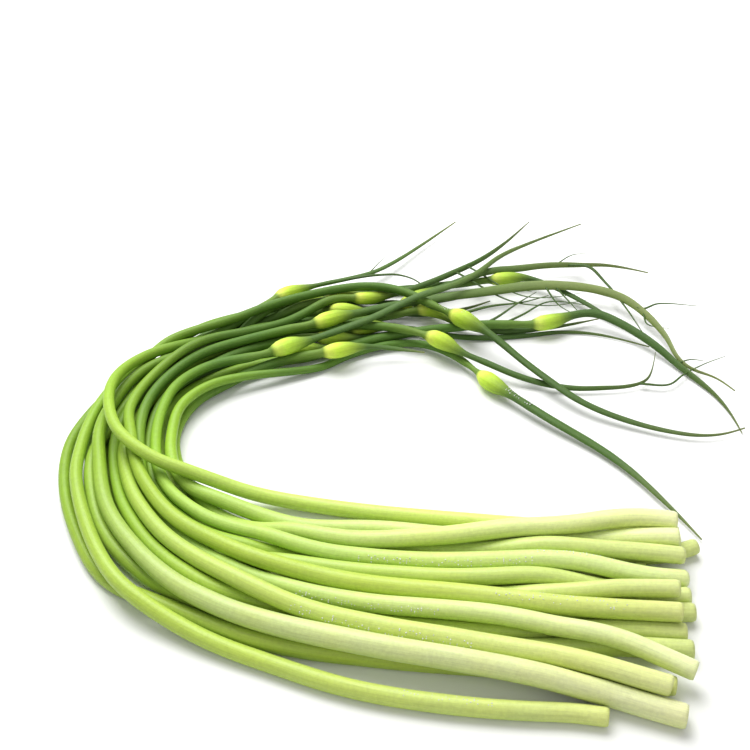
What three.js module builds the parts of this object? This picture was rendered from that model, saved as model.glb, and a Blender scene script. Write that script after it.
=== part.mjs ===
// Bunch of garlic scapes lying on a table, bent over into one open loop.
// Every scape is one grown piece: a cut foot, a round stem, the bud in its
// sheath and the long beak the sheath draws out to.  Millimetres, +Z up.
import * as THREE from 'three';

// ---- driving dimensions -------------------------------------------------
const SIDES = 8;            // faces round a stem
const STEM_STEP = 13;       // ring spacing along a stem
const BEAK_STEP = 12;       // ring spacing along a beak
const ROUTE_DIVISIONS = 600; // pieces in which a route's length is measured
const TAPER_FROM = 0.2;     // share of the stem that keeps the foot's thickness
const TAPER_TO = 0.8;       // from this share on it has the neck's
const TIP_RADIUS = 0.5;     // a beak ends in a point this thin
const BEAK_SHOULDER = 0.08; // share of the bud's swelling left where the beak begins
const BEAK_WAIST = 0.85;    // thickness of a beak half way, as a share of its start
const BEAK_HALF = 0.55;     // up to this share of its length a beak narrows slowly
const BEAK_RUSH = 1.6;      // how late the rest of it narrows
const AIR = 0.34;           // clear space kept between two scapes
const SETTLE_ROUNDS = 600;  // passes of the settling below
const REACH = 37;           // rings further apart than this cannot touch
const STIFFNESS = 0.25;     // how strongly a stem keeps the bow of its route
const HOLD = 0.015;         // pull back to the chosen route in one pass
const CALM_SHARE = 0.7;     // after this part of the passes nothing pulls any more
const FIRM_HOLD = 0.12;     // the same for a firm scape
const FIRM_SHARE = 0.2;     // part of a push that a firm scape takes from a loose one
const SINK = 0.02;          // weight: drop in one pass
const TINY = 1e-9;          // below this two stretches run side by side or meet
const GREEN = 0x9cc03c;     // plain colour of a scape
const WAXINESS = 0.45;      // roughness of its skin

// The bud in its sheath: [distance from the bud's middle, share of the
// swelling from the neck (0) to the full bud (1)].
const BUD_SHAPE = [[-7, 0], [-4.5, 0.42], [-2, 0.92], [1, 1], [5, 0.78], [9, 0.43], [14, BEAK_SHOULDER]];

// ---- the scapes -----------------------------------------------------------
// foot, neck, bud, beak: radii; budAt: which point of the route the bud sits on;
// firm: one of the upper scapes, which the others give way to.
// The route runs from the cut foot, along the front of the loop, round the
// bend and back along the rear to the beak's tip.
const SCAPES = [
  { foot: 3.6, neck: 2.4, bud: 3.6, beak: 1.4, budAt: 13, firm: true, route: [[124.5, -104, 3.5],
    [61, -99, 3.5], [0, -92, 3.5], [-50, -84, 6], [-77, -80, 13.5], [-94.5, -75, 19], [-109.5, -63, 22],
    [-118, -41, 22], [-118, -22, 19], [-110.5, -6.5, 15.5], [-96, 5, 12], [-79, 17.5, 7.5],
    [-61, 39, 6.5], [-46, 56, 7], [-34, 61.5, 7.5], [-15, 68.5, 7.5], [-3, 74, 7], [8, 84.5, 5.5],
    [24, 104, 3.5], [46, 130, 3]] },
  { foot: 3.9, neck: 2.4, bud: 3.7, beak: 1.5, budAt: 14, firm: true, route: [[122.5, -104, 11.5],
    [61, -108, 11], [30, -111, 10.5], [0, -113, 10.5], [-28, -110, 7], [-54, -100, 3.5],
    [-76, -81, 3.5], [-87, -62, 3.5], [-90, -42, 3.5], [-83, -22, 3.5], [-69, -9, 3.5], [-57, 0, 4.5],
    [-45, 5, 6.5], [-31, 7, 8.5], [-18, 6.5, 10], [-6, 11, 9], [8, 12, 7], [24, 10, 6]] },
  { foot: 3.8, neck: 1.9, bud: 4.1, beak: 2.1, budAt: 18, firm: true, route: [[122.5, -112, 9],
    [61, -107, 3.5], [30, -105, 3.5], [0, -101, 3.5], [-30, -101, 4.5], [-50, -96, 5.5], [-70, -87, 8],
    [-82, -78, 9.5], [-88, -66, 10], [-90, -44, 10], [-88, -31, 10], [-81, -21, 9.5], [-69.5, -12, 8],
    [-52, -6, 6], [-25, 3.5, 2.5], [-10, 13.5, 3], [16, 21, 3.5], [36, 13, 3.5], [54, -10.5, 5.5],
    [65.5, -22.5, 5.5], [81, -37, 4.5], [92.5, -46.5, 3.5], [104, -57.5, 3], [113.5, -70, 3],
    [122, -84, 3], [129, -95, 2], [134, -105, 2]] },
  { foot: 3.6, neck: 2.2, bud: 3.8, beak: 2.0, budAt: 13, route: [[122.5, -116.5, 9], [81, -116, 8],
    [40, -113, 4.5], [0, -109, 3.5], [-40, -113, 3.5], [-69, -98, 3.5], [-89, -72, 3.5],
    [-98, -42, 3.5], [-92, -18, 3.5], [-72, 0, 3], [-45, 9, 3], [-15, 18, 3], [45, 31, 5.5],
    [86, 32, 7], [98, 37, 8], [110, 39, 8.5], [122, 32, 7.5], [135, 19.5, 5.5], [145, 6.5, 3.5],
    [154, -5.5, 3], [163, -21.5, 2.5], [167, -41, 2]] },
  { foot: 3.4, neck: 2.2, bud: 3.5, beak: 1.5, budAt: 9, route: [[129, -105, 3.5], [61, -113.5, 3.5],
    [0, -117, 3.5], [-45, -113.5, 4.5], [-78, -98, 7], [-96, -74, 9], [-101, -48, 9], [-95, -20, 8],
    [-60, 12, 4.5], [-22, 25, 4], [0, 31, 4.5], [22, 34, 3.5], [48, 39, 3]] },
  { foot: 3.4, neck: 2.2, bud: 3.5, beak: 1.5, budAt: 9, route: [[111.5, -117, 3.5], [61, -124, 3.5],
    [0, -124, 3.5], [-45, -121, 3.5], [-78, -106, 3.5], [-99, -80, 3.5], [-106, -50, 3.5],
    [-99, -20, 3.5], [-74, 6, 3.5], [-38, 17, 4], [-14, 22, 3.5], [10, 28, 3], [34, 38, 3]] },
  { foot: 3.5, neck: 2.2, bud: 3.5, beak: 1.4, budAt: 10, route: [[122.5, -134, 3.5], [61, -131.5, 3.5],
    [0, -131, 3.5], [-45, -128, 3.5], [-82, -110, 3.5], [-106, -82, 3.5], [-114, -50, 3.5],
    [-108, -18, 3.5], [-84, 8, 3.5], [-45, 22, 3.5], [-6, 30, 4.5], [20, 29, 3.5], [48, 26, 3],
    [80, 30.5, 2.5], [96, 32.5, 2.5], [114, 29.5, 2.5], [136, 20, 2.5]] },
  { foot: 3.6, neck: 2.2, bud: 3.4, beak: 1.6, budAt: 12, route: [[116.5, -136, 8.5], [86, -134, 10],
    [50, -133, 6], [0, -138, 3.5], [-45, -134.5, 3.5], [-86, -116, 3.5], [-111, -84, 3.5],
    [-121, -50, 3.5], [-116, -18, 3.5], [-94, 8, 3.5], [-58, 30, 3.5], [-20, 49, 3.5], [18, 55, 5.5],
    [30, 60, 6], [45, 66, 8], [60, 73, 9], [75, 77, 8], [92, 81, 8], [110, 83, 7], [127, 85, 5.5],
    [147, 82, 3]] },
  { foot: 3.7, neck: 2.3, bud: 4.1, beak: 1.7, budAt: 13, firm: true, route: [[122.5, -127, 4],
    [105, -127, 6], [80, -124, 9], [0, -123, 10], [-30, -118, 10], [-60, -106, 10], [-80, -94, 11],
    [-90, -80, 11], [-96, -58, 11], [-96, -37, 12], [-91, -19, 12], [-77, -5, 11], [-60, 1.5, 10],
    [-43, 7, 11], [-30, 14, 11], [-15, 22, 11], [0, 29, 12], [12, 37, 13.5], [24, 42, 15.5],
    [37, 49.5, 15.5], [52, 64, 13.5], [66.5, 84, 11], [85.5, 103, 7], [117, 127, 3.5]] },
  { foot: 3.8, neck: 2.2, bud: 3.3, beak: 1.6, budAt: 17, firm: true, route: [[115.5, -148.5, 9.5],
    [61, -143.5, 10], [0, -135, 11], [-30, -129, 12], [-59, -119, 12.5], [-78, -108, 13.5],
    [-90, -94, 14.5], [-98, -81, 15.5], [-105, -60, 15.5], [-110, -40, 14.5], [-106, -22, 13.5],
    [-98, -6, 12.5], [-85, 8, 12.5], [-60, 20, 11], [-45, 29, 8], [-32, 38.5, 8], [-18, 46.5, 8],
    [-4, 51.5, 8], [12, 55.5, 8], [26, 63, 8], [42, 74, 8], [56, 86, 7], [71, 104, 5.5], [88, 130, 3]] },
  { foot: 3.7, neck: 2.2, bud: 3.4, beak: 1.5, budAt: 10, route: [[122.5, -143, 3.5], [61, -142.5, 3.5],
    [0, -145, 3.5], [-45, -140, 3.5], [-92, -120, 3.5], [-120, -86, 3.5], [-129, -50, 3.5],
    [-123, -16, 3.5], [-97, 7, 3.5], [-60, 31, 3.5], [-18, 42, 4], [5, 46, 3.5], [25, 45, 3],
    [45, 50, 2.5], [60, 58, 2]] },
  { foot: 3.7, neck: 2.2, bud: 3.2, beak: 1.4, budAt: 11, route: [[117.5, -147.5, 3.5], [61, -148, 3.5],
    [0, -151.5, 3.5], [-45, -141, 5.5], [-82, -120, 7], [-100, -96, 8], [-109, -73, 9], [-112, -50, 10],
    [-108, -22, 9], [-86, 12, 7], [-53, 38, 6.5], [-33, 49, 5], [-17, 52, 3.5], [5, 51, 3],
    [25, 50, 3]] },
  { foot: 3.8, neck: 2.2, bud: 3.4, beak: 1.6, budAt: 13, route: [[118.5, -152.5, 3.5], [61, -155, 3.5],
    [0, -156, 3.5], [-45, -146.5, 6], [-80, -128, 7], [-105, -104, 7], [-116, -73, 8], [-119, -50, 8],
    [-113, -18, 7], [-93, 14, 5.5], [-40, 53, 3], [-15, 61, 3], [25, 66, 4.5], [68, 71, 8], [80, 71, 8],
    [92, 65, 7], [105, 55, 6], [117, 44, 4.5], [131, 30, 3]] },
  { foot: 3.8, neck: 2.3, bud: 3.8, beak: 2.0, budAt: 13, firm: true, route: [[115.5, -173, 8.5],
    [91, -161, 9.5], [60, -153, 9], [30, -147, 8.5], [0, -143, 8], [-30, -137, 7], [-60, -122, 7],
    [-80, -106, 8], [-96, -84, 10], [-104, -54, 12], [-103, -28, 11], [-84, 2, 11], [-50, 19, 11],
    [-23.5, 27, 12], [-9.5, 33, 12], [6.5, 40.5, 11], [33, 50, 9], [60, 56, 9], [85, 61, 9],
    [109, 59, 9], [127, 52, 8], [139, 37, 6], [146, 19, 4.5], [149, 2, 3], [158, 0, 3],
    [170, -14, 2.5]] },
  { foot: 3.9, neck: 2.2, bud: 4.1, beak: 1.5, budAt: 13, firm: true, route: [[105, -181, 9.5],
    [61, -167, 10], [30, -161, 11], [0, -156, 12], [-30, -147, 12.5], [-59, -133, 12.5],
    [-79, -118, 12.5], [-91, -104, 12.5], [-101, -88, 12], [-109, -62, 12], [-105, -30, 8], [-80, 8, 6],
    [-10, 29, 9], [31, 14, 11], [41, 7, 9], [53, 1.5, 7], [65, -5, 5.5], [80, -10, 3.5],
    [96, -13, 3], [113, -12, 3], [127, -10, 3], [132.5, -2, 3], [138, 14, 3]] },
  { foot: 3.7, neck: 2.3, bud: 3.4, beak: 1.5, budAt: 10, firm: true, route: [[109, -175, 3.5],
    [61, -169.5, 3.5], [0, -162.5, 3.5], [-40, -155, 3.5], [-78.5, -142, 3.5], [-106.5, -127, 3.5],
    [-125.5, -97, 3.5], [-134.5, -71, 3.5], [-135.5, -46, 3.5], [-114, -5, 3.5], [-20, 54, 5.5],
    [0, 58, 6], [14, 60, 6], [26, 57, 5.5]] },
  { foot: 4.5, neck: 2.2, bud: 3.5, beak: 1.5, budAt: 17, firm: true, route: [[110, -188, 4.5],
    [83, -180, 6], [60, -175, 10], [30, -169, 11], [0, -163, 11], [-30, -156, 11], [-59, -145, 11],
    [-84, -128, 11], [-101, -110, 11], [-111, -95, 11], [-118, -75, 11], [-121, -50, 11],
    [-112, -16, 10], [-66, 24, 8.5], [-40, 34, 5.5], [-10, 37, 3.5], [11, 42.5, 5.5], [28, 43.5, 8],
    [41, 35, 4.5], [60, 30, 3], [90, 34, 2.5], [114, 41, 2.5]] },
  { foot: 3.5, neck: 2.2, bud: 4.4, beak: 2.0, budAt: 17, firm: true, route: [[83.5, -184.5, 3.5],
    [51, -185, 3.5], [20, -182, 3.5], [-10, -176, 3.5], [-40, -165, 3.5], [-60, -156, 4],
    [-80, -145, 5.5], [-100, -131, 8], [-113, -112, 9], [-121, -93, 10], [-127, -71, 10],
    [-128, -48, 10], [-122, -22, 10], [-103, 2, 10.5], [-78, 19, 12.5], [-40, 45, 12.5], [0, 55, 11.5],
    [43, 28, 13], [57, 16, 12], [66.5, 6, 9], [80.5, -10, 7], [96.5, -26, 5.5], [117, -36.5, 3.5],
    [138, -43.5, 3], [153, -45, 3], [168, -40, 3]] },
];

// ---- from a route to rings --------------------------------------------------
// Radius at a distance s: the stem, which tapers round the bend, the swelling of
// the bud, then the beak, narrowing slowly first and quickly near its tip.
function radiusAt(spec, s, budS, total) {
  const first = BUD_SHAPE[0][0];
  const last = BUD_SHAPE[BUD_SHAPE.length - 1][0];
  if (s <= budS + first) {
    const taper = THREE.MathUtils.smoothstep(s / (budS + first), TAPER_FROM, TAPER_TO);
    return THREE.MathUtils.lerp(spec.foot, spec.neck, taper);
  }
  if (s < budS + last) {
    let k = 0;
    while (BUD_SHAPE[k + 1][0] < s - budS) k += 1;
    const [s0, w0] = BUD_SHAPE[k];
    const [s1, w1] = BUD_SHAPE[k + 1];
    const swell = THREE.MathUtils.lerp(w0, w1, (s - budS - s0) / (s1 - s0));
    const base = s < budS ? spec.neck : spec.beak;
    return THREE.MathUtils.lerp(base, spec.bud, swell);
  }
  const t = (s - budS - last) / (total - budS - last);
  const thick = THREE.MathUtils.lerp(spec.beak, spec.bud, BEAK_SHOULDER);
  const waist = spec.beak * BEAK_WAIST;
  if (t < BEAK_HALF) return THREE.MathUtils.lerp(thick, waist, t / BEAK_HALF);
  return THREE.MathUtils.lerp(waist, TIP_RADIUS, ((t - BEAK_HALF) / (1 - BEAK_HALF)) ** BEAK_RUSH);
}

function evenly(from, to, step) {
  const count = Math.max(1, Math.round((to - from) / step));
  return Array.from({ length: count }, (_, i) => from + ((to - from) * (i + 1)) / count);
}

// One scape as a chain of ring centres with their radii.
function chainOf(spec) {
  const route = spec.route.map((p) => new THREE.Vector3(...p));
  const curve = new THREE.CatmullRomCurve3(route, false, 'centripetal');
  curve.arcLengthDivisions = ROUTE_DIVISIONS;
  const lengths = curve.getLengths(ROUTE_DIVISIONS);
  const total = lengths[ROUTE_DIVISIONS];
  const budS = lengths[Math.round((spec.budAt / (spec.route.length - 1)) * ROUTE_DIVISIONS)];
  const neckS = budS + BUD_SHAPE[0][0];
  const beakS = budS + BUD_SHAPE[BUD_SHAPE.length - 1][0];
  const stations = [0, ...evenly(0, neckS, STEM_STEP), ...BUD_SHAPE.slice(1).map(([d]) => budS + d),
    ...evenly(beakS, total, BEAK_STEP)];
  const points = stations.map((s) => curve.getPointAt(Math.min(1, s / total)));
  return {
    points,
    home: points.map((p) => p.clone()),
    radii: stations.map((s) => radiusAt(spec, s, budS, total)),
    firm: Boolean(spec.firm),
  };
}

// ---- settling ---------------------------------------------------------------
// Nearest points of the segments p0p1 and q0q1, as shares along each.
function nearest(p0, p1, q0, q1) {
  const u = p1.clone().sub(p0);
  const v = q1.clone().sub(q0);
  const w = p0.clone().sub(q0);
  const a = u.dot(u);
  const b = u.dot(v);
  const c = v.dot(v);
  const d = u.dot(w);
  const e = v.dot(w);
  const bottom = a * c - b * b;
  const clamp = (x) => Math.min(1, Math.max(0, x));
  let s = bottom > TINY ? clamp((b * e - c * d) / bottom) : 0.5;
  const t = clamp((b * s + e) / c);
  s = clamp((b * t - d) / a);
  return [s, t];
}

// Two scapes that come closer than their skins allow are moved apart, the
// loose one further, the nearer ring of each segment taking the larger share.
function partPair(one, i, two, j) {
  const [p0, p1] = [one.points[i], one.points[i + 1]];
  const [q0, q1] = [two.points[j], two.points[j + 1]];
  const [s, t] = nearest(p0, p1, q0, q1);
  const p = p0.clone().lerp(p1, s);
  const q = q0.clone().lerp(q1, t);
  const wanted = THREE.MathUtils.lerp(one.radii[i], one.radii[i + 1], s)
    + THREE.MathUtils.lerp(two.radii[j], two.radii[j + 1], t) + AIR;
  const off = p.sub(q);
  const apart = off.length();
  if (apart >= wanted) return;
  off.multiplyScalar((wanted - apart) / Math.max(apart, TINY));
  const share = one.firm === two.firm ? 0.5 : Math.abs(FIRM_SHARE - (one.firm ? 0 : 1));
  p0.addScaledVector(off, share * (1 - s));
  p1.addScaledVector(off, share * s);
  q0.addScaledVector(off, (share - 1) * (1 - t));
  q1.addScaledVector(off, (share - 1) * t);
}

// In each pass a ring is drawn towards its route, sinks a little and keeps the
// route's bow; then scapes that meet are parted and none goes below the floor.
function settle(chains) {
  const step = new THREE.Vector3();
  for (let round = 0; round < SETTLE_ROUNDS; round += 1) {
    const calm = Math.max(0, 1 - round / (CALM_SHARE * SETTLE_ROUNDS));
    for (const c of chains) {
      const old = c.points.map((p) => p.clone());
      c.points.forEach((p, i) => {
        p.lerp(c.home[i], (c.firm ? FIRM_HOLD : HOLD) * calm);
        p.z -= SINK * calm;
        if (i > 0 && i < old.length - 1) {
          step.copy(old[i - 1]).add(old[i + 1]).multiplyScalar(0.5).sub(old[i]);
          const bow = c.home[i - 1].clone().add(c.home[i + 1]).multiplyScalar(0.5).sub(c.home[i]);
          p.addScaledVector(step.sub(bow), STIFFNESS * calm);
        }
      });
    }
    for (let a = 0; a < chains.length; a += 1) {
      for (let b = a + 1; b < chains.length; b += 1) {
        for (let i = 0; i < chains[a].points.length - 1; i += 1) {
          const p = chains[a].points[i];
          for (let j = 0; j < chains[b].points.length - 1; j += 1) {
            if (p.distanceTo(chains[b].points[j]) < REACH) partPair(chains[a], i, chains[b], j);
          }
        }
      }
    }
    for (const c of chains) c.points.forEach((p, i) => { p.z = Math.max(p.z, c.radii[i]); });
  }
}

// ---- the solid of one scape ---------------------------------------------------
// A turned profile whose straight axis is then laid along the settled chain.
function bendAlong(points, radii) {
  const along = [0];
  for (let i = 1; i < points.length; i += 1) along.push(along[i - 1] + points[i].distanceTo(points[i - 1]));
  const profile = [new THREE.Vector2(0, 0)];
  radii.forEach((r, i) => profile.push(new THREE.Vector2(r, along[i])));
  profile.push(new THREE.Vector2(0, along[along.length - 1]));
  const geometry = new THREE.LatheGeometry(profile, SIDES);

  const frames = [];
  let side = new THREE.Vector3(0, 0, 1);
  points.forEach((p, i) => {
    const before = points[Math.max(0, i - 1)];
    const after = points[Math.min(points.length - 1, i + 1)];
    const ahead = after.clone().sub(before).normalize();
    side = side.clone().addScaledVector(ahead, -side.dot(ahead)).normalize();
    frames.push({ p, side, across: new THREE.Vector3().crossVectors(ahead, side) });
  });

  const position = geometry.attributes.position;
  const rows = profile.length;
  for (let v = 0; v < position.count; v += 1) {
    const row = v % rows;
    const ring = Math.min(points.length - 1, Math.max(0, row - 1));
    const { p, side: s, across } = frames[ring];
    const x = position.getX(v);
    const z = position.getZ(v);
    const at = p.clone().addScaledVector(s, x).addScaledVector(across, -z);
    position.setXYZ(v, at.x, at.y, at.z);
  }
  geometry.computeVertexNormals();
  return geometry;
}

// ---- the bunch ------------------------------------------------------------------
const chains = SCAPES.map(chainOf);
settle(chains);

const group = new THREE.Group();
group.name = 'garlic_scapes';
chains.forEach((chain, i) => {
  const material = new THREE.MeshStandardMaterial({ color: GREEN, roughness: WAXINESS, metalness: 0 });
  const mesh = new THREE.Mesh(bendAlong(chain.points, chain.radii), material);
  mesh.name = `scape_${String(i + 1).padStart(2, '0')}`;
  group.add(mesh);
});

// The bunch is moved so that its bounding box stands centred on the origin.
const box = new THREE.Box3().setFromObject(group);
const middle = box.getCenter(new THREE.Vector3());
for (const mesh of group.children) mesh.geometry.translate(-middle.x, -middle.y, -box.min.z);

export default group;
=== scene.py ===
"""A bunch of garlic scapes: cut feet, bent stems, buds in their sheaths and
the long beaks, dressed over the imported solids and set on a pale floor."""

import math

import bpy
import numpy as np
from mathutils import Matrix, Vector


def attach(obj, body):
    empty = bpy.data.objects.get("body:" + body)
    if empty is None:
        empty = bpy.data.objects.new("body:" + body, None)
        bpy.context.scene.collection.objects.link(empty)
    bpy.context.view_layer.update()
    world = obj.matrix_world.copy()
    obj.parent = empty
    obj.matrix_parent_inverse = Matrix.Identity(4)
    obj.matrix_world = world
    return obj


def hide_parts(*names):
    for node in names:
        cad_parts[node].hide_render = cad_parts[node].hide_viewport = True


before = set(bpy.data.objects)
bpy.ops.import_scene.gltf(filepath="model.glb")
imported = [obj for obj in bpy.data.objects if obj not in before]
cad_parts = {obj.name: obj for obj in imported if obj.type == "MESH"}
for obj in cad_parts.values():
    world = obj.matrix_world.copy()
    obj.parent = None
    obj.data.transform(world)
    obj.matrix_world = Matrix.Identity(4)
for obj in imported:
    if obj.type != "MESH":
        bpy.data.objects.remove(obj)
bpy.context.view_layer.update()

bl_info = {
    "name": "Garlic Scapes",
    "version": (1, 0, 0),
    "blender": (4, 5, 0),
    "location": "View3D > Sidebar > Scapes",
    "description": "Grows a bunch of garlic scapes over its packed solids",
    "category": "Add Mesh",
}

SCAPES = sorted(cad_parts)
MM = 0.001
NECK_TO_BUD = 8.0 * MM  # from the end of the stem to the fullest point of the bud
BUD_TO_BEAK = 13.0 * MM  # from there to where the bud has drawn out to the beak
TIP_POINT = 0.4 * MM  # how far a beak's last point lies past its last ring
FLOOR_GAP = 0.02 * MM  # the lowest that a skin comes to the floor
FACE_RINGS = 7  # rings on the cut face, between its middle and its rim
THREAD_SIDES = 8
DROP_SIDES = 10
DROP_RINGS = 6
DROP_SUNK = 0.15  # how far a drop is sunk into the skin, as a share of its radius
SCAPE_SEED = 100
DEW_SEED = 7


def srgb(red, green, blue):
    """Screen colour, 0 to 255, as the linear colour that shaders take."""
    c = np.array([red, green, blue]) / 255.0
    low = c / 12.92
    high = ((c + 0.055) / 1.055) ** 2.4
    return tuple(float(v) for v in np.where(c <= 0.04045, low, high))


# ---------------------------------------------------------------------------
# Settings
# ---------------------------------------------------------------------------


def setting(kind, name, description, default, **limits):
    """One property with its name, its description and its limits."""
    return kind(name=name, description=description, default=default, **limits)


def length(name, description, default, low=0.0):
    """A length in metres, not below low."""
    kind = bpy.props.FloatProperty
    return setting(kind, name, description, default, min=low, precision=5, unit="LENGTH")


def share(name, description, default):
    """A share from 0 to 1."""
    kind = bpy.props.FloatProperty
    return setting(kind, name, description, default, min=0.0, max=1.0, precision=4, subtype="FACTOR")


def amount(name, description, default, low=0.0):
    """A plain number, not below low."""
    return setting(bpy.props.FloatProperty, name, description, default, min=low)


def whole(name, description, default, low, high):
    """A whole number from low to high."""
    return setting(bpy.props.IntProperty, name, description, default, min=low, max=high)


def angle(name, description, default):
    """An angle in radians."""
    return setting(bpy.props.FloatProperty, name, description, default, subtype="ANGLE")


def colour(name, description, default):
    """A linear colour."""
    kind = bpy.props.FloatVectorProperty
    return setting(kind, name, description, default, size=3, min=0.0, max=1.0, subtype="COLOR")


class ScapeSettings(bpy.types.PropertyGroup):
    """Shape of the stems, buds and beaks."""

    around: whole("Points Around", "Points in one ring of a stem", 36, 12, 96)
    ring_step: length("Ring Step", "Distance between two rings along a scape", 1.25 * MM, 0.5 * MM)
    ease: length("Easing", "Distance over which a bend is evened out", 3.8 * MM)
    oval: share("Oval", "How far a stem's section is from round", 0.02)
    ribs: whole("Ribs", "Faint ribs round a stem", 15, 0, 40)
    rib_depth: share("Rib Depth", "Depth of a rib as a share of the radius", 0.008)
    waver: share("Waver", "How far the radius wavers along a stem", 0.018)
    bevel: length("Foot Bevel", "Rounding of the rim at the cut foot", 0.35 * MM)
    dish: length("Foot Dish", "How far the cut face is sunk in its middle", 0.5 * MM)
    bud_ribs: whole("Bud Ribs", "Ribs round a bud", 11, 0, 30)
    bud_rib_depth: share("Bud Rib Depth", "Depth of a bud's rib as a share of the radius", 0.02)
    bud_lean: share("Bud Lean", "How much fuller one side of a bud is", 0.05)
    ledge: share("Bud Ledge", "Height of the ledge where the bud sits on its neck", 0.06)
    blunt: share("Bud Base", "How much blunter than its solid a bud's base is", 0.13)
    full: share("Bud Fullness", "How much fuller than its solid a bud is past its middle", 0.05)
    spare: length("Spare", "How far a stem's or a bud's skin may stand out from its solid", 0.35 * MM)
    wide: share("Beak Width", "How much wider than its solid a beak is", 0.06)
    slim: share("Beak Slimness", "How much slimmer than its solid a beak is at its tip", 0.34)
    flat: share("Beak Flatness", "How flat a beak is at its tip", 0.42)
    fold: share("Beak Fold", "Depth of the groove along a beak", 0.16)
    twist: angle("Beak Twist", "Turn of a beak's section over its length", 1.0)


class SkinSettings(bpy.types.PropertyGroup):
    """Colours along a scape, from the cut foot to the beak's tip."""

    foot: colour("Foot", "Colour by the cut foot", srgb(226, 233, 150))
    front: colour("Lower Stem", "Colour of the lower stem", srgb(198, 221, 98))
    bend: colour("Middle Stem", "Colour where the stem bends", srgb(150, 190, 54))
    rear: colour("Upper Stem", "Colour of the upper stem", srgb(80, 119, 38))
    bud_base: colour("Bud Base", "Colour at the base of the bud", srgb(222, 237, 102))
    bud: colour("Bud", "Colour of the bud", srgb(200, 232, 72))
    beak: colour("Beak", "Colour of the beak", srgb(72, 104, 44))
    faded: colour("Faded Leaf", "Colour of a beak that has opened to a leaf", srgb(140, 152, 92))
    pith: colour("Pale", "Colour that the palest scapes take by the foot", srgb(236, 240, 200))
    tip: colour("Tip", "Colour of the dry tip", srgb(118, 126, 82))
    cut: colour("Cut Face", "Colour of the cut face", srgb(222, 232, 168))
    roughness: share("Roughness", "Roughness of the skin near the foot", 0.36)
    matt: share("Mattness", "How much rougher the upper stem and the beak are", 0.24)


class DewSettings(bpy.types.PropertyGroup):
    """Water drops that cling to the skin."""

    smallest: length("Smallest Drop", "Radius of the smallest drop", 0.12 * MM)
    largest: length("Largest Drop", "Radius of the largest drop", 0.34 * MM)


class StageSettings(bpy.types.PropertyGroup):
    """Floor, lights and camera."""

    floor: colour("Floor", "Colour of the floor", (0.93, 0.93, 0.92))
    world: amount("Surround", "Light from all round", 0.42)
    key: amount("Key Light", "Power of the light behind", 18.5)
    fill: amount("Fill Light", "Power of the light in front", 2.0)
    lens: amount("Lens", "Focal length in millimetres", 52.8, 10.0)
    height: length("Camera Height", "Height of the camera above the floor", 0.349)
    back: length("Camera Distance", "Distance of the camera in front of what it looks at", 0.4015)
    aim_x: length("Aim X", "Where the camera looks, to the right of the middle", -0.0159, -1.0)
    aim_y: length("Aim Y", "Where the camera looks, behind the middle", 0.0312, -1.0)


# ---------------------------------------------------------------------------
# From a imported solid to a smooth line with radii
# ---------------------------------------------------------------------------


def rings_of(name):
    """Centres and radii of a solid's rings, in order from its cut foot. A
    solid is a stack of equal rings closed by one point at each end: the points
    with the most neighbours are the two ends, and a ring is all the points
    that are the same number of edges away from the foot's end."""
    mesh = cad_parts[name].data
    places = np.empty(len(mesh.vertices) * 3)
    mesh.vertices.foreach_get("co", places)
    corners = np.empty(len(mesh.loops), dtype=np.int64)
    mesh.loops.foreach_get("vertex_index", corners)
    points, which = np.unique(np.round(places.reshape(-1, 3), 6), axis=0, return_inverse=True)
    faces = which.reshape(-1)[corners].reshape(-1, 3)
    sides = np.concatenate([faces[:, [0, 1]], faces[:, [1, 2]], faces[:, [2, 0]]])
    edges = np.unique(np.sort(sides, axis=1), axis=0)
    valence = np.bincount(edges.ravel(), minlength=len(points))
    ends = np.argsort(valence)[-2:]
    met = [points[edges[(edges == end).any(axis=1)].ravel()] for end in ends]
    width = [np.linalg.norm(near - points[end], axis=1).max() for near, end in zip(met, ends)]
    foot = ends[int(np.argmax(width))]

    level = np.full(len(points), -1)
    level[foot] = 0
    while (level < 0).any():
        reached = level.max()
        touching = edges[(level[edges] == reached).any(axis=1)].ravel()
        fresh = touching[level[touching] < 0]
        if len(fresh) == 0:
            raise RuntimeError(f"{name} is not one stack of rings")
        level[fresh] = reached + 1
    count = level.max()
    rings = [points[level == k] for k in range(1, count)]
    centres = np.array([ring.mean(axis=0) for ring in rings])
    radii = np.array([np.linalg.norm(ring - ring.mean(axis=0), axis=1).mean() for ring in rings])
    return centres, radii


def smooth_line(points, at_points, at):
    """A cubic through the points, each with the slope of its neighbours: for
    u from 0 to 1 in a span, (2u3-3u2+1)p0 + (u3-2u2+u)m0 + (3u2-2u3)p1 +
    (u3-u2)m1, with m the slope times the span."""
    slope = np.gradient(points, at_points, axis=0)
    k = np.clip(np.searchsorted(at_points, at, side="right") - 1, 0, len(at_points) - 2)
    span = at_points[k + 1] - at_points[k]
    u = (at - at_points[k]) / span
    if points.ndim > 1:
        u, span = u[:, None], span[:, None]
    return (
        (2 * u**3 - 3 * u**2 + 1) * points[k]
        + (u**3 - 2 * u**2 + u) * span * slope[k]
        + (3 * u**2 - 2 * u**3) * points[k + 1]
        + (u**3 - u**2) * span * slope[k + 1]
    )


def evened(values, step, distance):
    """Values along a line, averaged with a bell of the given width; the two
    ends stay where they are."""
    reach = max(1, int(3 * distance / step))
    bell = np.exp(-0.5 * (np.arange(-reach, reach + 1) * step / distance) ** 2)
    bell /= bell.sum()
    first = 2 * values[0] - values[1 : reach + 1][::-1]
    last = 2 * values[-1] - values[-reach - 1 : -1][::-1]
    padded = np.concatenate([first, values, last])
    return np.stack([np.convolve(column, bell, mode="valid") for column in padded.T], axis=1)


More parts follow.
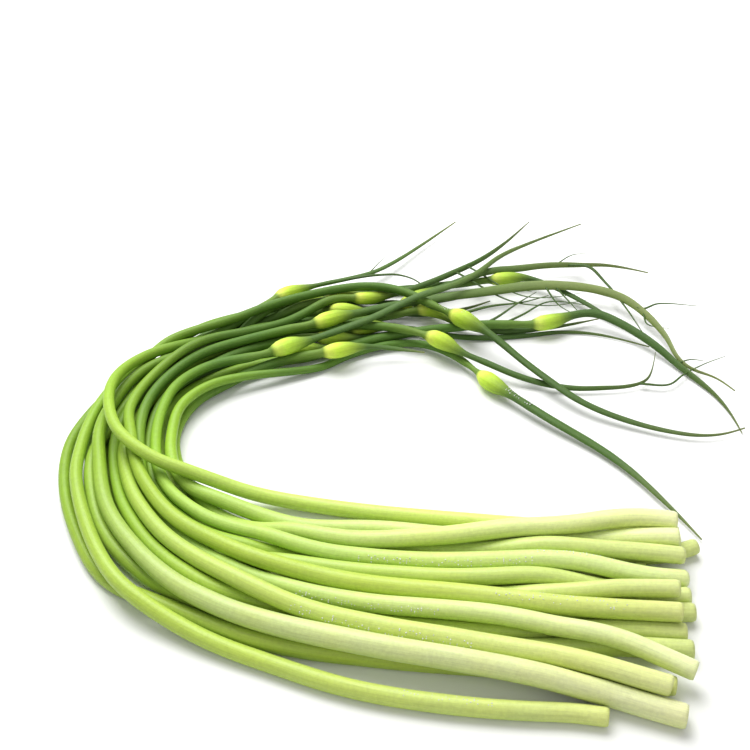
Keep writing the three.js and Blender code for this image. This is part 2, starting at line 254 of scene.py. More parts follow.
class Line:
    """One scape's middle line, with its radius and its landmarks. The bud is
    the ring that is the most wider than the third ring before it."""

    def __init__(self, name, step, ease):
        centres, radii = rings_of(name)
        at = np.concatenate([[0.0], np.cumsum(np.linalg.norm(np.diff(centres, axis=0), axis=1))])
        count = int(at[-1] / step) + 1
        self.s = np.linspace(0.0, at[-1], count)
        self.total = at[-1]
        self.step = self.s[1]
        self.centre = evened(smooth_line(centres, at, self.s), self.step, ease)
        self.radius = smooth_line(radii, at, self.s)
        self.bud = at[3 + int(np.argmax(radii[3:] - radii[:-3]))]
        self.neck = self.bud - NECK_TO_BUD
        self.beak = self.bud + BUD_TO_BEAK
        ahead = np.gradient(self.centre, self.s, axis=0)
        self.ahead = ahead / np.linalg.norm(ahead, axis=1, keepdims=True)
        up = np.array([0.0, 0.0, 1.0])
        side = up - self.ahead * self.ahead[:, 2:3]
        self.up = side / np.linalg.norm(side, axis=1, keepdims=True)
        self.across = np.cross(self.ahead, self.up)

    def growth(self):
        """0 to 1 from foot to neck, 1 to 2 over the bud, 2 to 3 in the beak."""
        return np.interp(self.s, [0.0, self.neck, self.beak, self.total], [0.0, 1.0, 2.0, 3.0])


# ---------------------------------------------------------------------------
# Meshes
# ---------------------------------------------------------------------------


def tube_faces(rings, around):
    """Corner indices of a closed tube: rings joined by quads, and a fan of
    triangles to one point at each end. Point 0 is the first end, then come the
    rings, and the last point is the far end."""
    ring = np.arange(rings - 1)[:, None] * around + 1
    step = np.arange(around)[None, :]
    turn = (step + 1) % around
    following = ring + around
    quads = np.stack([ring + step, ring + turn, following + turn, following + step], axis=-1).reshape(-1, 4)
    first = np.stack([np.zeros(around, int), 1 + turn[0], 1 + step[0]], axis=-1)
    base = (rings - 1) * around + 1
    last = np.stack([np.full(around, rings * around + 1), base + step[0], base + turn[0]], axis=-1)
    return quads, np.concatenate([first, last])


def write_mesh(name, points, quads, triangles, attributes=None):
    """One object from whole arrays. attributes: name to one vector per point."""
    mesh = bpy.data.meshes.new(name)
    corners = np.concatenate([quads.ravel(), triangles.ravel()]).astype(np.int32)
    sizes = np.concatenate([np.full(len(quads), 4), np.full(len(triangles), 3)])
    starts = np.concatenate([[0], np.cumsum(sizes)[:-1]]).astype(np.int32)
    mesh.vertices.add(len(points))
    mesh.vertices.foreach_set("co", np.asarray(points, dtype=np.float32).ravel())
    mesh.loops.add(len(corners))
    mesh.loops.foreach_set("vertex_index", corners)
    mesh.polygons.add(len(sizes))
    mesh.polygons.foreach_set("loop_start", starts)
    mesh.polygons.foreach_set("use_smooth", np.ones(len(sizes), dtype=bool))
    mesh.update(calc_edges=True)
    mesh.validate()
    for key, values in (attributes or {}).items():
        made = mesh.attributes.new(key, "FLOAT_VECTOR", "POINT")
        made.data.foreach_set("vector", np.asarray(values, dtype=np.float32).ravel())
    obj = bpy.data.objects.new(name, mesh)
    bpy.context.scene.collection.objects.link(obj)
    return obj


def joined(parts):
    """One surface from many. A part holds points, quads, triangles and any
    values per point; its corner indices are moved past the points before it."""
    moved = []
    before = 0
    for points, quads, triangles, *values in parts:
        moved.append((points, quads + before, triangles + before, *values))
        before += len(points)
    return [np.concatenate(arrays) for arrays in zip(*moved)]


def spread(first, per_ring, last, around):
    """One value per point of a closed tube, from one value per ring."""
    return np.concatenate([[first], np.repeat(per_ring, around), [last]])


def grain_of(a, s):
    """Where each point of a closed tube lies in its fibres: cos and sin of its
    angle, and its distance along."""
    grain = np.stack([np.tile(np.cos(a), len(s)), np.tile(np.sin(a), len(s)), np.repeat(s, len(a))], axis=1)
    return np.concatenate([[[0, 0, 0]], grain, [[0, 0, s[-1]]]])


def window(s, start, end, soft):
    """1 between start and end, falling to 0 over the soft distance outside."""
    rise = np.clip((s - start) / soft + 1.0, 0.0, 1.0)
    fall = np.clip((end - s) / soft + 1.0, 0.0, 1.0)
    both = np.minimum(rise, fall)
    return both * both * (3 - 2 * both)


def scape_surface(line, look, rng, leaf):
    """Points of one scape. At distance s and angle a round the line the point
    is the line's place plus r(s, a) times (cos a up + sin a across). r is the
    solid's radius times: a slow waver along s, an oval in 2a, faint ribs in
    many a, on the bud stronger ribs, one fuller side, a ledge, a blunter base
    and a fuller end (each a bell in s), and it stands out from the solid by no
    more than the spare. On the beak r is then multiplied by a flattening that
    turns with s, one groove, a fine crinkle and a slimmer tip. leaf widens a
    beak that has opened to a leaf. The foot's rim is rounded, its face is
    dished, and the cut leans a little."""
    around = look.around
    a = np.arange(around) * (2 * math.pi / around)
    s = line.s[:, None]
    phase = rng.uniform(0, 2 * math.pi, 8)
    on_bud = window(s, line.neck + 1 * MM, line.bud + 6 * MM, 2.5 * MM)
    on_beak = np.clip((s - line.bud - 5 * MM) / (22 * MM), 0, 1)
    along = np.clip((s - line.beak) / (line.total - line.beak), 0, 1)

    slow = 0.5 * np.sin(s / (23 * MM) + phase[0])
    quick = 0.3 * np.sin(s / (9 * MM) + phase[1]) + 0.2 * np.sin(s / (4 * MM))
    waver = look.waver * (slow + quick)
    drift = a + phase[2] + 0.6 * np.sin(s / (60 * MM) + phase[3])
    ribs = look.rib_depth * np.cos(look.ribs * drift) * (1 - on_bud)
    oval = look.oval * np.cos(2 * (a - phase[4]))
    bud = on_bud * (
        look.bud_rib_depth * np.cos(look.bud_ribs * (a + 0.25 * np.sin(s / (5 * MM))))
        + look.bud_lean * np.cos(a - phase[5])
    )
    rim = s - line.neck - 1.0 * MM + 0.5 * MM * np.sin(2 * a + phase[3])
    ledge = look.ledge * np.exp(-((rim / (0.8 * MM)) ** 2))
    ledge = ledge - 0.06 * np.exp(-(((rim + 2 * MM) / (1.2 * MM)) ** 2))
    blunt = look.blunt * np.exp(-(((rim - 1.9 * MM) / (1.5 * MM)) ** 2))
    full = look.full * np.exp(-(((s - line.bud - 5.5 * MM) / (4.5 * MM)) ** 2))
    r = line.radius[:, None] * (1 + waver + ribs + oval + bud + ledge + blunt + full)
    r = np.minimum(r, line.radius[:, None] + look.spare)

    turn = a - 0.5 * math.pi - 0.4 * math.sin(phase[6]) - look.twist * along
    flat = on_beak * (0.22 + look.flat * along)
    broad = leaf * np.sin(math.pi * np.clip((along - 0.15) / 0.8, 0, 1)) ** 0.7
    wide, thin = 1 + look.wide * on_beak + broad, 1 - flat
    section = 1 / np.sqrt((np.cos(turn) / wide) ** 2 + (np.sin(turn) / thin) ** 2)
    groove = np.exp(-((np.angle(np.exp(1j * (turn - math.pi / 2))) / 0.5) ** 2))
    crinkle = 0.05 * np.sin(s / (3.1 * MM) + phase[7]) * np.sin(s / (7.7 * MM)) * along
    slim = 1 - look.slim * np.clip((along - 0.4) / 0.5, 0, 1)
    r = r * section * slim * (1 - look.fold * on_beak * groove + crinkle)

    near = np.clip(1 - s / look.bevel, 0, 1)
    r = r - look.bevel * (1 - np.sqrt(1 - near**2))
    lean = math.tan(rng.uniform(0.02, 0.16)) * line.radius[0] * np.clip(1 - s / (8 * MM), 0, 1)
    pushed = lean * (1 + np.cos(a - phase[0])) * 0.5
    skin = (
        line.centre[:, None, :]
        + line.ahead[:, None, :] * pushed[..., None]
        + (np.cos(a) * r)[..., None] * line.up[:, None, :]
        + (np.sin(a) * r)[..., None] * line.across[:, None, :]
    )

    rho = np.linspace(0.0, 1.0, FACE_RINGS + 2)[1:-1][:, None]
    rough = 0.09 * MM * np.sin(5 * a + phase[1] + 7 * rho) * rho
    sunk = look.dish * (1 - rho**2) * 0.6 + rough + lean[0] * 0.5 * (1 + rho * np.cos(a - phase[0]))
    face = (
        line.centre[0]
        + line.ahead[0] * sunk[..., None]
        + (np.cos(a) * r[0] * rho)[..., None] * line.up[0]
        + (np.sin(a) * r[0] * rho)[..., None] * line.across[0]
    )
    middle = line.centre[0] + line.ahead[0] * (look.dish * 0.6 + lean[0, 0] * 0.5)
    rings = np.concatenate([face, skin])
    tip = line.centre[-1:] + line.ahead[-1:] * TIP_POINT
    points = np.concatenate([middle[None], rings.reshape(-1, 3), tip])
    points[:, 2] = np.maximum(points[:, 2], FLOOR_GAP)

    inner = len(rho)
    outer = len(line.s)
    growth = spread(0.0, np.concatenate([np.zeros(inner), line.growth()]), 3.0, around)
    depth = spread(0.0, np.concatenate([rho[:, 0], np.ones(outer)]), 1.0, around)
    cut = spread(1.0, np.concatenate([np.ones(inner), np.zeros(outer)]), 0.0, around)
    marks = np.stack([growth / 3.0, cut, depth], axis=1)
    grain = grain_of(a, np.concatenate([np.zeros(inner), line.s]))
    return points, len(rings), {"marks": marks, "grain": grain}


# ---------------------------------------------------------------------------
# Materials
# ---------------------------------------------------------------------------


def add(tree, kind, inputs=None, **settings):
    """A node with its settings and its input values."""
    made = tree.nodes.new(kind)
    for key, value in settings.items():
        setattr(made, key, value)
    for key, value in (inputs or {}).items():
        if isinstance(value, bpy.types.NodeSocket):
            tree.links.new(value, made.inputs[key])
        else:
            made.inputs[key].default_value = value
    return made


def ramp(tree, value, stops):
    """A colour ramp with (place, linear colour) stops."""
    made = add(tree, "ShaderNodeValToRGB", {"Fac": value})
    band = made.color_ramp.elements
    while len(band) < len(stops):
        band.new(0.5)
    for element, (place, tint) in zip(band, stops):
        element.position = place
        element.color = (*tint, 1.0)
    return made.outputs["Color"]


def blend(tree, mode, factor, first, second):
    """Two colours mixed; a value may be a number, a colour or a socket."""
    inputs = {0: factor, 6: first, 7: second}
    return add(tree, "ShaderNodeMix", inputs, data_type="RGBA", blend_type=mode).outputs[2]


def between(tree, value, low, high, to_low=0.0, to_high=1.0):
    """A value moved from one range to another, and held at its ends."""
    limits = {"Value": value, "From Min": low, "From Max": high, "To Min": to_low, "To Max": to_high}
    return add(tree, "ShaderNodeMapRange", limits).outputs["Result"]


def noise(tree, vector, scale, detail, roughness):
    """Soft noise from 0 to 1."""
    inputs = {"Vector": vector, "Scale": scale, "Detail": detail, "Roughness": roughness}
    return add(tree, "ShaderNodeTexNoise", inputs).outputs["Fac"]


def plus(tree, one, two):
    """The sum of two values."""
    return add(tree, "ShaderNodeMath", {0: one, 1: two}, operation="ADD").outputs[0]


def shaded(tree, base, value):
    """A colour times one value in all three channels."""
    grey = add(tree, "ShaderNodeCombineXYZ", {0: value, 1: value, 2: value}).outputs[0]
    return blend(tree, "MULTIPLY", 1.0, base, grey)


def mixed(one, two, share_of_two):
    """Two linear colours mixed."""
    return tuple(a + (b - a) * share_of_two for a, b in zip(one, two))


def growth_colours(skin, pale, late, olive):
    """Colour stops along a scape, at a third of its growth: the stem ends and
    the bud begins at one third, and the beak begins at two thirds."""
    foot = mixed(skin.foot, skin.pith, pale)
    front = mixed(skin.front, skin.pith, 0.6 * pale)
    beak = mixed(skin.beak, skin.faded, olive)
    return [
        (0.0, foot),
        (0.02, mixed(foot, front, 0.35)),
        (0.09, front),
        (0.155 + late, mixed(front, skin.bend, 0.55)),
        (0.20 + late, skin.bend),
        (0.23 + late, mixed(skin.bend, skin.rear, 0.32)),
        (0.265 + late, mixed(skin.bend, skin.rear, 0.92)),
        (0.31, skin.rear),
        (0.337, mixed(skin.rear, skin.bud_base, 0.12)),
        (0.356, mixed(skin.rear, skin.bud_base, 0.7)),
        (0.378, skin.bud_base),
        (0.44, skin.bud),
        (0.52, mixed(skin.bud, skin.beak, 0.35)),
        (0.60, mixed(skin.bud, skin.beak, 0.75)),
        (0.68, skin.beak),
        (0.77, mixed(skin.beak, beak, 0.35)),
        (0.83, beak),
        (0.88, mixed(beak, skin.tip, 0.15)),
        (0.955, mixed(beak, skin.tip, 0.5)),
        (1.0, skin.tip),
    ]


def green(tree, skin, base, grain, fibre, fine, place, tone_and_shade):
    """The base colour with fibres and clouds, pale threads, painted shade on
    the underside, fine mottling and small pale flecks, times the scape's own
    lightness and painted shade."""
    base = shaded(tree, base, between(tree, fibre, 0.3, 0.7, 0.88, 1.08))
    lift = between(tree, noise(tree, place, 38.0, 3.0, 0.5), 0.35, 0.7, 0.0, 0.35)
    base = blend(tree, "MIX", lift, base, blend(tree, "MULTIPLY", 1.0, base, (1.12, 1.06, 0.72, 1.0)))
    thread = between(tree, fine, 0.56, 0.72, 0.0, 0.16)
    base = blend(tree, "MIX", thread, base, (*mixed(skin.foot, skin.bud, 0.3), 1.0))
    # Painted shade: the underside, which faces away from the light above, is mixed towards a darker, deeper
    # green.
    up = add(tree, "ShaderNodeSeparateXYZ", {"Vector": grain}).outputs["X"]
    underside_shade = between(tree, up, 0.75, -0.35)
    base = blend(tree, "MIX", underside_shade, base, blend(tree, "MULTIPLY", 1.0, base, (0.80, 0.87, 0.62, 1.0)))
    mottle = noise(tree, place, 620.0, 3.0, 0.7)
    base = shaded(tree, base, between(tree, mottle, 0.3, 0.7, 0.92, 1.07))
    fleck = add(tree, "ShaderNodeTexVoronoi", {"Vector": place, "Scale": 900.0}).outputs["Distance"]
    speck = between(tree, fleck, 0.16, 0.05, 0.0, 0.10)
    base = blend(tree, "MIX", speck, base, (*skin.foot, 1.0))
    return blend(tree, "MULTIPLY", 1.0, base, (*tone_and_shade, 1.0))


def cut_face(tree, skin, depth, pores):
    """The cut face: pale pith, a greener rim and darker pores."""
    stops = [
        (0.0, mixed(skin.cut, (1, 1, 1), 0.25)),
        (0.45, skin.cut),
        (0.7, mixed(skin.cut, skin.front, 0.3)),
        (0.92, mixed(skin.front, skin.bend, 0.4)),
    ]
    return shaded(tree, ramp(tree, depth, stops), between(tree, pores, 0.1, 0.45, 0.72, 1.0))


def skin_material(skin, name, tone_and_shade, pale=0.0, late=0.0, olive=0.0):
    """Green skin whose colour follows growth along the scape, with fibres
    drawn out along it and a paler cut face. The tone darkens or lightens one
    scape against the next, partly as its own colour and partly as painted shade
    for scapes that lie in shade; pale whitens its foot, late moves the place
    where the stem darkens towards the bud, and olive fades the beak."""
    material = bpy.data.materials.new(name)
    material.use_nodes = True
    tree = material.node_tree
    tree.nodes.clear()

    marks = add(tree, "ShaderNodeAttribute", attribute_name="marks")
    growth, cut, depth = add(tree, "ShaderNodeSeparateXYZ", {"Vector": marks.outputs["Vector"]}).outputs
    grain = add(tree, "ShaderNodeAttribute", attribute_name="grain").outputs["Vector"]
    place = add(tree, "ShaderNodeTexCoord").outputs["Object"]
    fibre_map = add(tree, "ShaderNodeMapping", {"Vector": grain, "Scale": (7.0, 7.0, 60.0)})
    fibre = noise(tree, fibre_map.outputs[0], 1.0, 5.0, 0.6)
    fine_map = add(tree, "ShaderNodeMapping", {"Vector": grain, "Scale": (26.0, 26.0, 160.0)})
    fine = noise(tree, fine_map.outputs[0], 1.0, 3.0, 0.5)
    pores = add(tree, "ShaderNodeTexVoronoi", {"Vector": place, "Scale": 2300.0}).outputs["Distance"]

    base = ramp(tree, growth, growth_colours(skin, pale, late, olive))
    base = green(tree, skin, base, grain, fibre, fine, place, tone_and_shade)
    base = blend(tree, "MIX", cut, base, cut_face(tree, skin, depth, pores))

    rough = between(tree, growth, 0.12, 0.3, skin.roughness, skin.roughness + skin.matt)
    rough = plus(tree, rough, between(tree, fibre, 0.3, 0.7, -0.05, 0.08))
    rough = plus(tree, rough, between(tree, cut, 0, 1, 0, 0.2))

    relief = plus(tree, plus(tree, fibre, fine), between(tree, pores, 0.0, 0.5))
    bump = add(tree, "ShaderNodeBump", {"Height": relief, "Strength": 0.22, "Distance": 0.12 * MM})
    inputs = {
        "Base Color": base,
        "Roughness": rough,
        "Normal": bump.outputs[0],
        "Subsurface Weight": 0.12,
        "Subsurface Radius": (0.9, 1.0, 0.3),
        "Subsurface Scale": 0.0015,
        "Specular IOR Level": 0.45,
        "IOR": 1.42,
    }
    shader = add(tree, "ShaderNodeBsdfPrincipled", inputs)
    add(tree, "ShaderNodeOutputMaterial", {"Surface": shader.outputs[0]})
    return material


def water_material():
    """Water in fine drops, with a white base colour: a painted glint that stands in for the light the drops
    catch.
    """
    material = bpy.data.materials.new("water_painted_glint")
    material.use_nodes = True
    shader = material.node_tree.nodes["Principled BSDF"]
    # Painted glint: the white base colour makes each drop look lit.
    shader.inputs["Base Color"].default_value = (1.0, 1.0, 1.0, 1.0)
    shader.inputs["Roughness"].default_value = 0.12
    shader.inputs["IOR"].default_value = 1.33
    shader.inputs["Transmission Weight"].default_value = 0.35
    return material


def floor_material(tint):
    """Smooth pale card with a hardly visible tooth."""
    material = bpy.data.materials.new("pale_floor")
    material.use_nodes = True
    tree = material.node_tree
    shader = tree.nodes["Principled BSDF"]
    place = add(tree, "ShaderNodeTexCoord").outputs["Object"]
    tooth = noise(tree, place, 400.0, 2.0, 0.5)
    tinted = ramp(tree, tooth, [(0.3, mixed(tint, (0, 0, 0), 0.01)), (0.7, tint)])
    tree.links.new(tinted, shader.inputs["Base Color"])
    shader.inputs["Roughness"].default_value = 0.6
    shader.inputs["Specular IOR Level"].default_value = 0.2
    return material


# ---------------------------------------------------------------------------
# Pieces
# ---------------------------------------------------------------------------

LINES = {}


def line_of(name):
    """The middle line of a scape, worked out once."""
    if name not in LINES:
        look = bpy.context.scene.scape_settings
        LINES[name] = Line(name, look.ring_step, look.ease)
    return LINES[name]


# How light (first) and how yellow (second) one scape is against the others, how
# # pale its foot is (third), and how much later it turns dark (fourth). How light is
# # partly the scape's own colour and partly painted shade, darker for scapes that lie in shade.
TONES_AND_SHADE = {
    "scape_01": (1.04, 1.01, 0.20, 0.030),
    "scape_02": (1.06, 1.01, 0.55, 0.010),
    "scape_03": (1.03, 0.98, 0.50, -0.015),
    "scape_04": (0.92, 0.96, 0.15, 0.0),
    "scape_05": (0.90, 0.97, 0.0, 0.0),
    "scape_06": (0.86, 0.95, 0.0, 0.0),
    "scape_07": (0.93, 0.96, 0.15, 0.0),
    "scape_08": (0.95, 0.98, 0.10, 0.0),
    "scape_09": (1.03, 0.95, 0.35, 0.040),
    "scape_10": (0.92, 1.01, 0.0, 0.008),
    "scape_11": (0.88, 0.97, 0.0, 0.0),
    "scape_12": (0.90, 0.98, 0.0, 0.0),
    "scape_13": (0.84, 0.95, 0.0, 0.0),
    "scape_14": (1.04, 0.98, 0.60, -0.010),
    "scape_15": (0.97, 1.01, 0.25, 0.005),
    "scape_16": (0.86, 1.00, 0.0, 0.0),
    "scape_17": (0.94, 1.01, 0.80, -0.010),
    "scape_18": (0.92, 0.98, 0.0, -0.005),
}


# Beaks that have opened to a leaf: how much wider than the solid they are, and
# how olive.
LEAVES = {"scape_14": (0.55, 0.7), "scape_08": (0.30, 0.4), "scape_09": (0.0, 0.25)}


class SCAPES_OT_grow(bpy.types.Operator):
    """Grow every scape over its solid: foot, stem, bud and beak in one skin"""

    bl_idname = "scapes.grow"
    bl_label = "Grow Scapes"

    def execute(self, context):
        look = context.scene.scape_settings
        skin = context.scene.skin_settings
        for number, name in enumerate(SCAPES):
            rng = np.random.default_rng(SCAPE_SEED + number)
            leaf, olive = LEAVES.get(name, (0.0, 0.0))
            points, rings, attributes = scape_surface(line_of(name), look, rng, leaf)
            quads, triangles = tube_faces(rings, look.around)
            obj = write_mesh(f"{name}_skin", points, quads, triangles, attributes)
            # The first value is partly painted shade: scapes that lie in shade are made darker.
            light, yellow, pale, late = TONES_AND_SHADE[name]
            tone_and_shade = (light * yellow, light, light * (1.3 - 0.3 * yellow))
            obj.data.materials.append(skin_material(skin, f"{name}_green", tone_and_shade, pale, late, olive))
            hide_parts(name)
            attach(obj, "root")
        return {"FINISHED"}


# Fine dry threads and side leaves that split off a beak: the scape, how thick
# the thread is in millimetres, and its course over the table in millimetres. A
# thread starts on its scape, at the place nearest to the first point given.
THREADS = [
    ("scape_17", 1.4, [(25.5, 74, 7), (44, 77, 7), (59, 81, 6), (74, 87, 6)]),
    ("scape_17", 1.2, [(34, 62, 5), (46, 69, 6), (56, 78, 7), (68, 90, 6)]),
    ("scape_04", 1.0, [(48, 63, 4), (59, 71, 6), (72, 80, 7), (96, 81, 4)]),
    ("scape_08", 1.4, [(88, 114, 9), (97, 109, 9), (105, 97, 7), (112, 78, 6), (118, 56, 5)]),
    ("scape_10", 0.8, [(56, 86, 7), (66, 84, 7), (78, 86, 6), (92, 92, 4)]),
    ("scape_12", 0.9, [(5, 82, 4), (26, 84, 6), (46, 92, 7), (66, 92, 5)]),
    ("scape_08", 0.6, [(81, 114, 9), (91, 121, 8), (102, 125, 6)]),
    ("scape_14", 0.9, [(111, 71, 8), (119, 75, 7), (129, 80, 6), (150, 81, 4)]),
    ("scape_14", 0.7, [(114, 68, 7), (121, 65, 5), (132, 62, 4)]),
    ("scape_10", 0.9, [(48, 78, 7), (60, 80, 6), (76, 80, 5), (94, 86, 4)]),
    ("scape_17", 1.0, [(38, 66, 5), (54, 64, 4), (72, 66, 4), (88, 72, 4)]),
    ("scape_14", 0.8, [(72, 89, 8), (79, 78, 6), (88, 72, 4)]),
    ("scape_14", 0.8, [(77, 90, 8), (84, 82, 6), (90, 72, 4)]),
    ("scape_15", 0.9, [(112, 17, 3), (124, 21, 3), (132, 28, 3), (144, 36, 3), (156, 43, 2)]),
    ("scape_04", 0.7, [(130, 36, 5), (137, 38, 4), (145, 38, 3)]),
    ("scape_01", 0.5, [(-18, 104, 8), (-13, 115, 8), (-9, 123, 7)]),
    ("scape_01", 1.4, [(-30, 97, 8), (-15, 101, 9), (-3, 101, 9), (6, 97, 8), (11, 91, 6), (11, 87, 5)]),
]


def thread_surface(start, course, thickness):
    """A thin tube along a cubic through the course's points. Its radius at the
    start is 0.85 of the thickness and shrinks evenly to a fifth of that, and
    its section is six tenths as high as it is wide."""
    stops = np.concatenate([[start], np.array(course[1:]) * MM])
    at = np.concatenate([[0.0], np.cumsum(np.linalg.norm(np.diff(stops, axis=0), axis=1))])
    s = np.linspace(0.0, at[-1], int(at[-1] / (1.2 * MM)) + 2)
    centre = smooth_line(stops, at, s)
    centre[:, 2] = np.maximum(centre[:, 2], 0.5 * thickness * MM)
    ahead = np.gradient(centre, s, axis=0)
    ahead /= np.linalg.norm(ahead, axis=1, keepdims=True)
    up = np.array([0.0, 0.0, 1.0]) - ahead * ahead[:, 2:3]
    up /= np.linalg.norm(up, axis=1, keepdims=True)
    across = np.cross(ahead, up)
    a = np.arange(THREAD_SIDES) * (2 * math.pi / THREAD_SIDES)
    r = (0.85 * thickness * MM * (1 - 0.8 * s / s[-1]))[:, None]
    ring = (
        centre[:, None]
        + (0.6 * r * np.cos(a))[..., None] * up[:, None]
        + (r * np.sin(a))[..., None] * across[:, None]
    )
    points = np.concatenate([centre[:1], ring.reshape(-1, 3), centre[-1:]])
    growth = spread(0.68, np.linspace(0.68, 0.86, len(s)), 0.86, THREAD_SIDES)
    marks = np.stack([growth, np.zeros(len(points)), np.ones(len(points))], axis=1)
    return points, *tube_faces(len(s), THREAD_SIDES), marks, grain_of(a, s)


class SCAPES_OT_threads(bpy.types.Operator):
    """Split the fine dry threads off the beaks"""

    bl_idname = "scapes.threads"
    bl_label = "Split Beaks into Threads"

    def execute(self, context):
        skin = context.scene.skin_settings
        threads = []
        for name, thickness, course in THREADS:
            centre = line_of(name).centre
            nearest = np.argmin(np.linalg.norm(centre - np.array(course[0]) * MM, axis=1))
            threads.append(thread_surface(centre[nearest], course, thickness))
        points, quads, triangles, marks, grain = joined(threads)
        obj = write_mesh("beak_threads", points, quads, triangles, {"marks": marks, "grain": grain})
        obj.data.materials.append(skin_material(skin, "thread_green", (0.72, 0.72, 0.6)))
        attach(obj, "root")
        return {"FINISHED"}


# Where drops cling: scape, distance from the foot (start, end) in millimetres,
# angle from the top (low, high) in degrees, below 0 towards the front, and how
# many.
DEW = [
    ("scape_18", (40, 75), (-20, 25), 40),
    ("scape_09", (30, 60), (10, 45), 50),
    ("scape_09", (60, 130), (-75, -25), 90),
    ("scape_14", (95, 150), (-75, -35), 70),
    ("scape_15", (70, 140), (-75, -30), 90),
    ("scape_10", (20, 70), (-40, 40), 50),
    ("scape_03", (440, 456), (-30, 30), 26),
    ("scape_18", (500, 520), (-30, 30), 26),
]


def ball_surface():
    """A ball of radius 1: at angle b from the top and a round it the point is
    (sin b cos a, sin b sin a, cos b)."""
    a = np.arange(DROP_SIDES) * (2 * math.pi / DROP_SIDES)
    b = (np.arange(DROP_RINGS) + 1) * (math.pi / (DROP_RINGS + 1))
    x = np.outer(np.sin(b), np.cos(a))
    y = np.outer(np.sin(b), np.sin(a))
    z = np.outer(np.cos(b), np.ones(DROP_SIDES))
    rings = np.stack([x, y, z], axis=-1).reshape(-1, 3)
    quads, triangles = tube_faces(DROP_RINGS, DROP_SIDES)
    return np.concatenate([[[0, 0, 1.0]], rings, [[0, 0, -1.0]]]), quads[:, ::-1], triangles[:, ::-1]


class SCAPES_OT_dew(bpy.types.Operator):
    """Scatter small water drops over the places where they cling"""

    bl_idname = "scapes.dew"
    bl_label = "Scatter Dew"

    def execute(self, context):
        dew = context.scene.dew_settings
        rng = np.random.default_rng(DEW_SEED)
        ball, quads, triangles = ball_surface()
        drops = []
        for name, (start, end), (low, high), many in DEW:
            line = line_of(name)
            k = np.searchsorted(line.s, rng.uniform(start, end, many) * MM)
            turned = np.radians(rng.uniform(low, high, many))[:, None]
            sizes = rng.uniform(dew.smallest, dew.largest, many)
            front = line.across[k] if line.across[k[0], 1] < 0 else -line.across[k]
            out = np.cos(turned) * line.up[k] - np.sin(turned) * front
            seats = line.centre[k] + out * (line.radius[k] - DROP_SUNK * sizes)[:, None]
            drops += [(seat + ball * size, quads, triangles) for seat, size in zip(seats, sizes)]
        obj = write_mesh("dew_drops", *joined(drops))
        obj.data.materials.append(water_material())
        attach(obj, "root")
        return {"FINISHED"}


def lay_floor(tint, half=2.0, cells=4):
    """A flat square of cells by cells, from -half to half both ways."""
    x = np.linspace(-half, half, cells + 1)
    across, along = np.tile(x, cells + 1), np.repeat(x, cells + 1)
    row = np.arange(cells)[:, None] * (cells + 1) + np.arange(cells)[None]
    quads = np.stack([row, row + 1, row + cells + 2, row + cells + 1], axis=-1).reshape(-1, 4)
    points = np.stack([across, along, np.zeros(len(across))], axis=1)
    floor = write_mesh("floor", points, quads, np.empty((0, 3), int))
    floor.data.materials.append(floor_material(tint))


def light_all_round(scene, strength):
    """Even white light from every side."""
    world = bpy.data.worlds.new("surround")
    world.use_nodes = True
    background = world.node_tree.nodes["Background"]
    background.inputs["Color"].default_value = (1.0, 1.0, 1.0, 1.0)
    background.inputs["Strength"].default_value = strength
    scene.world = world


def hang_lamp(scene, name, place, size, power):
    """A square lamp that faces the middle of the floor."""
    lamp = bpy.data.lights.new(name, "AREA")
    lamp.shape = "SQUARE"
    lamp.size = size
    lamp.energy = power
    holder = bpy.data.objects.new(name, lamp)
    scene.collection.objects.link(holder)
    holder.location = place
    holder.rotation_euler = (-Vector(place)).to_track_quat("-Z", "Y").to_euler()


def place_camera(scene, settings):
    """The camera in front of the bunch, looking down on it."""
    camera = bpy.data.objects.new("camera", bpy.data.cameras.new("camera"))
    camera.data.lens = settings.lens
    camera.data.sensor_width = 36.0
    camera.data.clip_start = 0.01
    scene.collection.objects.link(camera)
    eye = Vector((settings.aim_x, settings.aim_y - settings.back, settings.height))
    aim = Vector((settings.aim_x, settings.aim_y, 0.0))
    camera.location = eye
    camera.rotation_euler = (aim - eye).to_track_quat("-Z", "Y").to_euler()
    scene.camera = camera


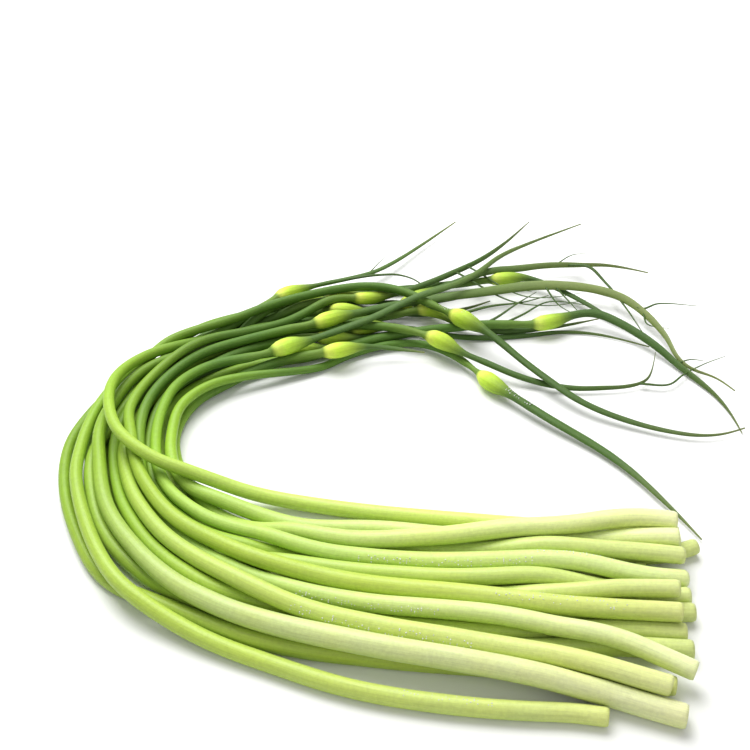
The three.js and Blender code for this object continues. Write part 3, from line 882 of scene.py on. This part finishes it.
class SCAPES_OT_stage(bpy.types.Operator):
    """Lay the pale floor, set the lights and place the camera"""

    bl_idname = "scapes.stage"
    bl_label = "Set Stage"

    def execute(self, context):
        settings = context.scene.stage_settings
        scene = context.scene
        lay_floor(tuple(settings.floor))
        light_all_round(scene, settings.world)
        hang_lamp(scene, "key", (-0.25, 0.55, 0.95), 0.9, settings.key)
        hang_lamp(scene, "fill", (0.35, -0.9, 0.9), 1.2, settings.fill)
        place_camera(scene, settings)
        scene.view_settings.view_transform = "Standard"
        scene.view_settings.look = "None"
        scene.view_settings.exposure = 0.0
        return {"FINISHED"}


class SCAPES_PT_panel(bpy.types.Panel):
    """Steps that make the bunch, in order"""

    bl_idname = "SCAPES_PT_panel"
    bl_label = "Garlic Scapes"
    bl_space_type = "VIEW_3D"
    bl_region_type = "UI"
    bl_category = "Scapes"

    def draw(self, context):
        layout = self.layout
        for step in STEPS:
            layout.operator(step.bl_idname)
        for group in ("scape_settings", "skin_settings", "dew_settings", "stage_settings"):
            box = layout.box()
            settings = getattr(context.scene, group)
            for key in settings.bl_rna.properties.keys():
                if key not in {"rna_type", "name"}:
                    box.prop(settings, key)


STEPS = (SCAPES_OT_grow, SCAPES_OT_threads, SCAPES_OT_dew, SCAPES_OT_stage)
GROUPS = {
    "scape_settings": ScapeSettings,
    "skin_settings": SkinSettings,
    "dew_settings": DewSettings,
    "stage_settings": StageSettings,
}


def register():
    """Make the settings, the operators and the panel known to Blender."""
    for key, group in GROUPS.items():
        bpy.utils.register_class(group)
        setattr(bpy.types.Scene, key, bpy.props.PointerProperty(type=group))
    for cls in (*STEPS, SCAPES_PT_panel):
        bpy.utils.register_class(cls)


def unregister():
    """Take them out again, in reverse."""
    for cls in (SCAPES_PT_panel, *reversed(STEPS)):
        bpy.utils.unregister_class(cls)
    for key, group in reversed(GROUPS.items()):
        delattr(bpy.types.Scene, key)
        bpy.utils.unregister_class(group)


def main():
    """Run every step in order."""
    register()
    bpy.ops.scapes.grow()
    bpy.ops.scapes.threads()
    bpy.ops.scapes.dew()
    bpy.ops.scapes.stage()


if __name__ == "__main__":
    main()
